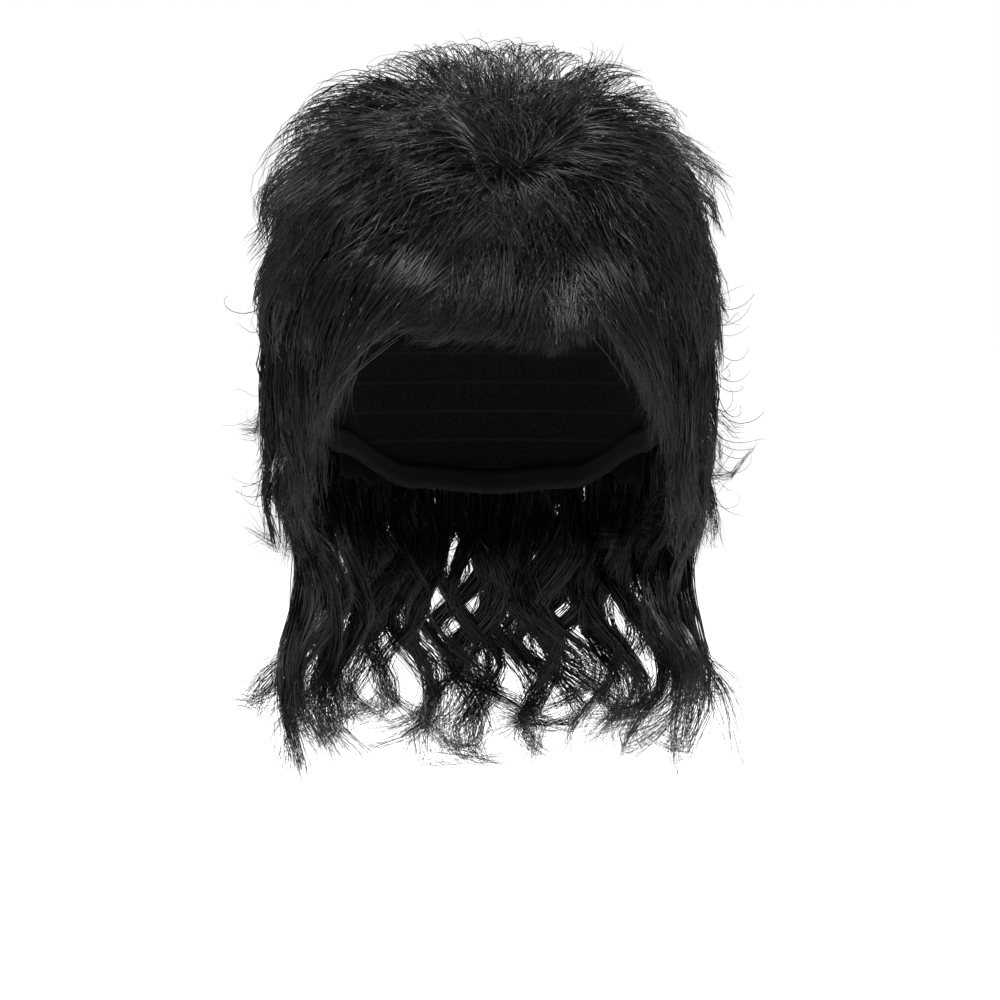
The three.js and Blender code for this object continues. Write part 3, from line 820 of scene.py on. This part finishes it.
def make_hanging(name, rng, span, layer):
    """Layered locks of hanging hair between two bearings, and the strands that gather in them."""
    begin, finish = span
    lock, hair = Draws(rng, layer["locks"]), Draws(rng, layer["strands"])
    full = (0.84, 1.0) if fold_bearing(begin) > SIDE_END - 1 else (0.68, 0.86)
    bearing = lock.even(begin, finish)
    end = lock.even(*layer["ends"])
    curl = layer["curl"]
    locks = {
        "bearing": bearing,
        "start": cap_edge(bearing) * lock.even(*layer["start"]),
        "end": arc_at_drop(layer["drop"] * end),
        "thickness": hang_thickness(bearing) * (lock.even(*full) + 0.5 * (1 - end)),
        "swing": lock.near(0, 4),
        "flick": layer["flick"] * lock.even(-0.5, 1.1),
        "curl": np.abs(lock.near(curl, curl)),
        "turns": lock.even(0.7, 1.7),
        "phase": lock.even(0, 1),
        "hook": lock.even(0, 2.2) * lock.chance(0.15 * curl),
        "lean": lock.even(0, 2 * math.pi),
    }
    bearing = hair.even(begin, finish)
    own_start = cap_edge(bearing) * hair.even(*layer["start"])
    spots = np.stack([bearing, 0.5 * own_start], -1)
    own_lock = nearest(spots, np.stack([locks["bearing"], 0.5 * locks["start"]], -1))
    values = picked(locks, own_lock)
    values["bearing"] = bearing
    values["end"] += hair.near(0, 3)
    values["thickness"] *= hair.even(0.82, 1.12)
    under = hair.chance(UNDER_SHARE)
    values["start"] = np.where(under, cap_edge(bearing) * hair.even(0.93, 1), own_start)
    values["thickness"] *= np.where(under, hair.even(0.05, 0.5), 1)
    own, out = hang_paths(values)
    middle = hang_paths(locks)[0][own_lock]
    hold = np.where(under, 0.25, hair.even(*layer["hold"]))
    wander = np.where(hair.chance(0.04), 8, 1.4)
    paths = frizzed(gathered(own, middle, hold), out, rng, wander, 0.6)
    add_piece(f"{name}_strands", strands(paths, out, rng), STRAND_BLACK, [name])
    make_curtain(name, span, layer["dense_top"], layer["hem"] * layer["drop"], layer["grid"])


def make_temple(name, rng, span):
    """Short strands over the cap's edge between the fringe and the sideburn."""
    hair = Draws(rng, 340)
    begin, finish = span
    bearing = hair.even(begin, finish)
    edge = read_line(TEMPLE_ENDS, fold_bearing(bearing))
    values = {
        "bearing": bearing,
        "start": hair.even(48, 64),
        "end": arc_at_drop(edge * hair.even(0.9, 1.05)),
        "thickness": hang_thickness(bearing) * hair.even(0.15, 1.0),
        "swing": np.sign(bearing) * hair.even(-2, 2),
        "flick": hair.near(0, 1),
        "curl": hair.even(0, 2),
        "turns": hair.even(0.5, 1),
        "phase": hair.even(0, 1),
        "hook": np.zeros(hair.count),
        "lean": np.zeros(hair.count),
    }
    paths, out = hang_paths(values, 7)
    paths = frizzed(paths, out, rng, 1, 0.4)
    add_piece(f"{name}_temple", strands(paths, out, rng), STRAND_BLACK, [name])


def make_side_flyaways(name, rng, span, count):
    """Loose single hairs that curl away from the side hair."""
    hair = Draws(rng, count)
    bearing = hair.even(*span)
    start = cap_edge(bearing) * hair.even(0.45, 1.0)
    values = {
        "bearing": bearing,
        "start": start,
        "end": start + hair.even(18, 42),
        "thickness": hang_thickness(bearing) * hair.even(0.7, 1),
        "swing": hair.near(0, 6),
        "flick": hair.even(0, 9),
        "curl": hair.even(2, 5),
        "turns": hair.even(0.6, 1.6),
        "phase": hair.even(0, 1),
        "hook": hair.even(0, 3.5),
        "lean": hair.even(0, 2 * math.pi),
    }
    paths, out = hang_paths(values, LOOP_POINTS)
    looped = hair.even(2, 5) * hair.chance(0.6)
    paths = hooked(paths, out, looped, hair.even(0.6, 2.5), 0.35)
    mesh = strands(paths, out, rng, 0.9 * STRAND_WIDTH)
    add_piece(f"{name}_flyaways", mesh, STRAND_BLACK, [name])


def make_curtain(name, span, top, hem, size):
    """The dense hair that hangs between two bearings, from an angle down from the crown to a hem. hem is
    a drop, or gives the drop at a bearing."""
    begin, finish = span
    columns, rows = size

    def places(across, along):
        bearing = begin + (finish - begin) * across
        ragged = 1 + 0.015 * np.sin(across * 31) + 0.01 * np.sin(across * 73 + 1)
        drop = hem(bearing) if callable(hem) else hem
        arc = top + (arc_at_drop(drop * ragged) - top) * along
        return bearing, arc

    def outside(across, along):
        bearing, arc = places(across, along)
        share = read_table(CURTAIN_SHAPE, "along", "thickness", along)
        groove = np.sin(bearing * 1.7 + 2 * np.sin(arc / 13)) * np.sin(bearing * 0.61)
        thin = 1 - 0.85 * ease((along - 0.6) / 0.4)
        offset = CAP_SKIN + ((hang_thickness(bearing) - 4) * share + 1.1 * groove * along) * thin
        return hang_place(bearing, arc, np.maximum(offset, CAP_SKIN + 0.8))[0]

    def inside(across, along):
        bearing, arc = places(across, along)
        return hang_place(bearing, arc, np.full(len(across), CAP_SKIN))[0]

    def flow(across, along):
        bearing, arc = places(across, along)
        return np.stack([bearing * 2.2, np.zeros(len(across)), arc / 20], -1)

    mesh = solid_sheet(columns, rows, outside, inside, flow)
    add_piece(f"{name}_dense", mesh, DENSE_PAINTED_SHADE, [name])


# The fringe


def fringe_paths(values):
    """Paths combed from the whorl down over the forehead, and the ways out of the head along them."""
    t = np.linspace(0, 1, FRINGE_POINTS)
    along = values["start"][:, None] + (values["end"] - values["start"])[:, None] * t
    bearing = values["from_bearing"][:, None] * (1 - along) + values["tip"][:, None] * along**0.75
    bearing = bearing + values["swing"][:, None] * t**2.5
    arc = values["from_polar"][:, None] * (1 - along) + arc_at_drop(values["drop"])[:, None] * along
    over = np.interp(along, [0, 0.25, 0.6, 1], [0.9, 1.15, 1.05, 0.62])
    offset = CAP_SKIN + values["thickness"][:, None] * over
    paths, out = hang_place(bearing, arc, offset)
    paths = curled(paths, out, values["curl"], values["turns"], values["phase"])
    return hooked(paths, out, values["sweep"], 0 * values["sweep"], 0.5), out


def fringe_hem(bearing):
    """How far down the dense fringe ends: over the temples it covers the cap."""
    drop = FRINGE_DROP * (1 + 0.24 * (bearing / FRINGE_SPREAD) ** 2)
    return drop * read_line(FRINGE_DENSE, np.abs(bearing))


def fringe_ends(rng, bearing, sweep):
    """How far down strands end: lower where their tips turn far aside, so that the hem stays level."""
    drop = read_line(FRINGE_ENDS, bearing) * (1 + 0.055 * sweep**2)
    return drop * rng.uniform(0.96, 1.03, len(bearing))


def make_fringe(rng):
    lock, hair = Draws(rng, 54), Draws(rng, 2700)
    tip = lock.even(-FRINGE_SPREAD, FRINGE_SPREAD)
    locks = {
        "tip": tip,
        "from_bearing": WHORL_BEARING + lock.near(0, 10),
        "from_polar": WHORL_POLAR + lock.near(0, 2),
        "start": lock.even(0.02, 0.6),
        "end": np.ones(lock.count),
        "sweep": read_line(FRINGE_SWEEP, tip),
        "thickness": hang_thickness(tip) * lock.even(0.86, 1.1),
        "swing": lock.near(0, 3),
        "curl": np.abs(lock.near(1.4, 1.8)),
        "turns": lock.even(0.5, 1.3),
        "phase": lock.even(0, 1),
    }
    locks["sweep"] *= lock.even(0.6, 1.2)
    locks["drop"] = fringe_ends(rng, tip, locks["sweep"])
    tip = hair.even(-FRINGE_SPREAD, FRINGE_SPREAD)
    start = hair.even(0, 0.72) ** 1.1
    spots = np.stack([tip + hair.near(0, 2.5), 30 * start], -1)
    own_lock = nearest(spots, np.stack([locks["tip"], 30 * locks["start"]], -1))
    values = picked(locks, own_lock)
    values["tip"], values["start"] = tip, start
    near = tip + hair.near(0, 1.8)
    values["drop"] = fringe_ends(rng, near, values["sweep"])
    values["from_bearing"] = WHORL_BEARING + hair.near(0, 16)
    values["from_polar"] = WHORL_POLAR + hair.near(0, 4)
    values["end"] = hair.even(0.9, 1.0) ** 0.7
    values["thickness"] *= hair.even(0.7, 1.15)
    values["swing"] += hair.near(0, 3)
    own, out = fringe_paths(values)
    middle = fringe_paths(locks)[0][own_lock]
    loose = hair.chance(0.15)
    paths = gathered(own, middle, np.where(loose, 0.2, hair.even(0.6, 0.97)))
    paths = frizzed(paths, out, rng, 1.1, 0.25)
    add_piece("fringe_strands", strands(paths, out, rng), STRAND_BLACK, ["fringe"])


# The tail


def tail_paths(values):
    """Wavy paths that fall from the nape, the ways across them and the ways out of the neck."""
    t = np.linspace(0, 1, TAIL_POINTS)
    down = values["start"][:, None] * (1 - t) + values["end"][:, None] * t
    free = np.clip((down - values["start"][:, None]) / TAIL_WAVE_LENGTH, 0, 1)
    turn = 2 * math.pi * (down / values["wave"][:, None] + values["phase"][:, None])
    offset = CAP_SKIN + ROOT_LAYER + values["thickness"][:, None] * free
    bulge = np.cos(2 * math.pi * (down / TAIL_WAVE_LENGTH + values["swell_phase"][:, None]))
    offset = offset + values["swell"][:, None] * free * bulge + values["flare"][:, None] * t**2
    paths, out = hang_place(values["bearing"][:, None], arc_at_drop(down), offset)
    across = unit(np.cross(np.array([0, 0, 1.0]), out))
    sideways = values["swing"][:, None] * free * (0.8 + 0.5 * t) * np.sin(turn)
    paths = paths + across * sideways[..., None]
    twist = (values["twist"][:, None] + values["twist_turns"][:, None] * 2 * math.pi * t)[..., None]
    wide = across * np.cos(twist) + out * np.sin(twist)
    deep = out * np.cos(twist) - across * np.sin(twist)
    return paths, wide, deep


def make_tail(bunch, rng):
    lock, hair = Draws(rng, 11), Draws(rng, 600)
    name, start, end = bunch["name"], bunch["start"], bunch["end"]
    lane = np.arange(lock.count) + lock.even(0.1, 0.9)
    bearing = start + (end - start) * lane / lock.count
    top = cap_edge((start + end) / 2) - math.degrees(TAIL_OVERLAP / 2 / MEAN_RADIUS)
    reach = TAIL_DROP * bunch["drop"]
    curly = lock.chance(0.45)
    hook = np.where(curly, lock.even(1.1, 2), lock.even(0, 0.6))
    locks = {
        "bearing": bearing,
        "start": drop_at_arc(np.full(lock.count, top)),
        "end": np.minimum(reach * lock.even(0.92, 1.07), TAIL_DROP + 8) + 6 * hook**1.7,
        "thickness": TAIL_RISE * lock.even(0.1, 1.2),
        "swing": TAIL_WAVE * lock.even(0.9, 2.2),
        "swell": TAIL_SWELL * lock.even(0.5, 1.5),
        "swell_phase": TAIL_BULGE + lock.near(0, 0.06),
        "flare": lock.even(-2, 4),
        "wave": TAIL_WAVE_LENGTH * lock.even(0.75, 1.1),
        "phase": bunch["phase"] + lock.even(0, 0.5),
        "twist": lock.near(0, 0.5),
        "twist_turns": lock.near(0, 0.3),
        "hook": hook,
        "lean": lock.even(0, 2 * math.pi),
    }
    short = dict(locks, end=locks["start"] + 0.66 * (locks["end"] - locks["start"]))
    middle, wide, deep = tail_paths(short)
    t = np.linspace(0, 1, TAIL_POINTS)
    shape = np.ones((lock.count, 1)) * read_table(LOCK_SHAPE, "along", "width", t)
    run = np.stack([9 * np.arange(lock.count)[:, None] + 0 * t, 0 * shape, 4 * t + 0 * shape], -1)
    cores = tubes(middle, TAIL_CORE_WIDTH * shape, TAIL_CORE_THICKNESS * shape, deep, 8, run, 12)
    add_piece(f"{name}_cores", cores, DENSE_PAINTED_SHADE, [name])
    own_lock = rng.integers(0, lock.count, hair.count)
    values = picked(locks, own_lock)
    values["end"] *= hair.even(0.94, 1.01)
    values["phase"] += hair.near(0, 0.02)
    values["wave"] *= hair.near(1, 0.004)
    values["swing"] *= hair.even(0.9, 1.15)
    own, wide, deep = tail_paths(values)
    turn = hair.even(0, 2 * math.pi)
    spread = np.sqrt(hair.even(0.25, 1))
    narrow = np.interp(t, [0, 0.25, 0.65, 1], [0.9, 1, 0.85, 0.25])
    own = own + wide * ((TAIL_LOCK_WIDTH / 2 * spread * np.cos(turn))[:, None] * narrow)[..., None]
    own = own + deep * ((TAIL_LOCK_DEPTH / 2 * spread * np.sin(turn))[:, None] * narrow)[..., None]
    own = hooked(own, deep, values["hook"] * hair.even(0.9, 1.1), values["lean"], 0.62)
    loose = np.where(hair.chance(0.16), 4, 0.7)
    own = frizzed(own, deep, rng, loose, 0.2)
    past = np.maximum(-own[..., 2] - TAIL_DROP, 0)
    own[..., 2] += past - TAIL_GIVE * (1 - np.exp(-past / TAIL_GIVE))
    add_piece(f"{name}_strands", strands(own, deep, rng), STRAND_BLACK, [name])


def make_flyaways(rng):
    """Loose single hairs round the outline, with wide curls."""
    hair = Draws(rng, 200)
    root, bearing, share = crown_roots(rng, hair.count, 0.5)
    values = {
        "root": root,
        "bearing": bearing,
        "length": CROWN_LENGTH * hair.even(0.5, 1.3),
        "lift": crown_lift(rng, bearing, share),
        "depth": hair.even(0, 4),
        "swing": hair.near(0, 14),
        "curl": hair.even(2, 7),
        "turns": hair.even(0.6, 1.6),
        "phase": hair.even(0, 1),
        "hook": hair.even(0, 3),
        "lean": hair.even(-2.8, -0.3),
    }
    paths, out = crown_paths(values, TAIL_POINTS)
    mesh = strands(paths, out, rng, FLYAWAY_WIDTH)
    add_piece("crown_flyaways", mesh, STRAND_BLACK, ["crown_hair"])


# The cap


def make_cap():
    def wall(offset):
        def place(across, along):
            radius, bearing = disc_from_square(across, along)
            direction = direction_at(radius * cap_edge(bearing), bearing)
            return head_place(direction, np.full(len(across), float(offset)))[0]

        return place

    def flow(across, along):
        radius, bearing = disc_from_square(across, along)
        arc = np.radians(radius * cap_edge(bearing)) * MEAN_RADIUS
        return np.stack([0 * arc, 0 * arc, arc / WEFT_SPACING], -1)

    mesh = solid_sheet(46, 46, wall(CAP_WALL), wall(0), flow)
    add_piece("cap_net", mesh, NET_BLACK, ["cap"])


def make_edge_band():
    bm = bmesh.new()
    bmesh.ops.create_cone(bm, cap_ends=False, segments=128, radius1=1, radius2=1, depth=1)
    upright = [e for e in bm.edges if abs(e.verts[0].co.z - e.verts[1].co.z) > 0.5]
    bmesh.ops.subdivide_edges(bm, edges=upright, cuts=3)
    bmesh.ops.recalc_face_normals(bm, faces=bm.faces[:])
    layer = bm.verts.layers.float_vector.new("flow")
    band = math.degrees(BAND_HEIGHT / MEAN_RADIUS)
    grown = bmesh.ops.extrude_face_region(bm, geom=bm.faces[:])
    far = {v for v in grown["geom"] if isinstance(v, bmesh.types.BMVert)}
    for vert in bm.verts:
        bearing = math.degrees(math.atan2(vert.co.x, -vert.co.y))
        up = vert.co.z + 0.5
        polar = cap_edge(bearing) - band * up
        offset = -FIT_GAP - (BAND_WALL if vert in far else 0)
        point = head_place(direction_at(polar, bearing), np.array(offset))[0]
        vert.co = Vector(point * MM)
        vert[layer] = Vector((0, 0, up * BAND_HEIGHT / ELASTIC_RIB))
    mesh = closed_mesh(bm, "edge_band")
    add_piece("edge_band_elastic", mesh, ELASTIC_BLACK, ["edge_band"])


def make_sides(rng):
    for side, sign in (("left", 1), ("right", -1)):
        temple = tuple(sorted((sign * TEMPLE_START, sign * (SIDEBURN_END + 1))))
        sideburn = tuple(sorted((sign * SIDE_START, sign * (SIDEBURN_END + 1))))
        over_ear = tuple(sorted((sign * (SIDEBURN_END - 1), sign * (SIDE_END + 2))))
        name = f"sideburn_{side}"
        make_temple(name, rng, temple)
        make_hanging(name, rng, sideburn, HANGING["sideburn"])
        name = f"side_hair_{side}"
        make_hanging(name, rng, over_ear, HANGING["side_hair"])
        loose = 48 + 18 * sign  # more of them on the wearer's left
        make_side_flyaways(name, np.random.default_rng(40 + sign), over_ear, loose)


make_cap()
make_edge_band()
make_crown_dense()
make_crown(np.random.default_rng(3))
make_flyaways(np.random.default_rng(5))
make_fringe(np.random.default_rng(7))
make_curtain("fringe", (-FRINGE_SPREAD, FRINGE_SPREAD), WHORL_POLAR - 3, fringe_hem, (56, 20))
make_sides(np.random.default_rng(11))
make_hanging("back_hair", np.random.default_rng(13), (SIDE_END, 360 - SIDE_END), HANGING["back_hair"])
for number, bunch in enumerate(TAIL_BUNCHES):
    make_tail(bunch, np.random.default_rng(20 + number))


# The stage: a pale floor, soft light and the camera, in metres
FLOOR_Z = -0.42
PHOTO_DISTANCE = 1.5
PHOTO_WIDTH = 0.42  # what the frame spans at the head
PHOTO_ELEVATION = 3.0
PHOTO_CENTRE = Vector((0.0035, 0.0, -0.143))
SKY_LIGHT = 0.09


def make_stage():
    bm = bmesh.new()
    bmesh.ops.create_grid(bm, x_segments=1, y_segments=1, size=30)
    mesh = bpy.data.meshes.new("floor")
    bm.to_mesh(mesh)
    bm.free()
    floor = add_object("floor", mesh)
    floor.location.z = FLOOR_Z
    material, nodes, links = new_material("floor_white")
    nodes["Principled BSDF"].inputs["Base Color"].default_value = (0.9, 0.9, 0.9, 1)
    nodes["Principled BSDF"].inputs["Roughness"].default_value = 0.9
    nodes["Principled BSDF"].inputs["Emission Color"].default_value = (1, 1, 1, 1)
    path = nodes.new("ShaderNodeLightPath")
    links.new(path.outputs["Is Camera Ray"], nodes["Principled BSDF"].inputs["Emission Strength"])
    mesh.materials.append(material)

    world = bpy.data.worlds.new("studio")
    bpy.context.scene.world = world
    world.use_nodes = True
    nodes, links = world.node_tree.nodes, world.node_tree.links
    path = nodes.new("ShaderNodeLightPath")
    seen = math_node(nodes, links, "MULTIPLY", path.outputs["Is Camera Ray"], 1 - SKY_LIGHT)
    strength = math_node(nodes, links, "ADD", seen, SKY_LIGHT)
    nodes["Background"].inputs["Color"].default_value = (1, 1, 1, 1)
    links.new(strength, nodes["Background"].inputs["Strength"])
    bpy.context.scene.view_settings.view_transform = "Standard"


def add_light(name, place, size, power):
    """A soft area lamp that faces the middle of the wig."""
    data = bpy.data.lights.new(name, "AREA")
    data.shape = "RECTANGLE"
    data.size, data.size_y = size
    data.energy = power
    lamp = add_object(name, data)
    lamp.location = place
    towards = Vector((0, 0, -0.1)) - Vector(place)
    lamp.rotation_euler = towards.to_track_quat("-Z", "Y").to_euler()


def add_camera():
    data = bpy.data.cameras.new("camera")
    data.sensor_width = 36
    data.lens = data.sensor_width * PHOTO_DISTANCE / PHOTO_WIDTH
    camera = add_object("camera", data)
    rise = math.radians(PHOTO_ELEVATION)
    away = Vector((0, -math.cos(rise), math.sin(rise))) * PHOTO_DISTANCE
    camera.location = PHOTO_CENTRE + away
    camera.rotation_euler = (-away).to_track_quat("-Z", "Y").to_euler()
    bpy.context.scene.camera = camera


make_stage()
add_light("key", (-1.3, -1.5, 1.2), (0.45, 0.4), 32)
add_light("fill", (1.5, -1.4, 0.7), (0.4, 0.35), 22)
add_light("top", (0.1, -0.1, 1.9), (0.5, 0.5), 11)
add_light("back_left", (1.5, 1.4, 0.9), (0.5, 0.5), 24)
add_light("back_right", (-1.5, 1.4, 0.9), (0.5, 0.5), 24)
add_camera()
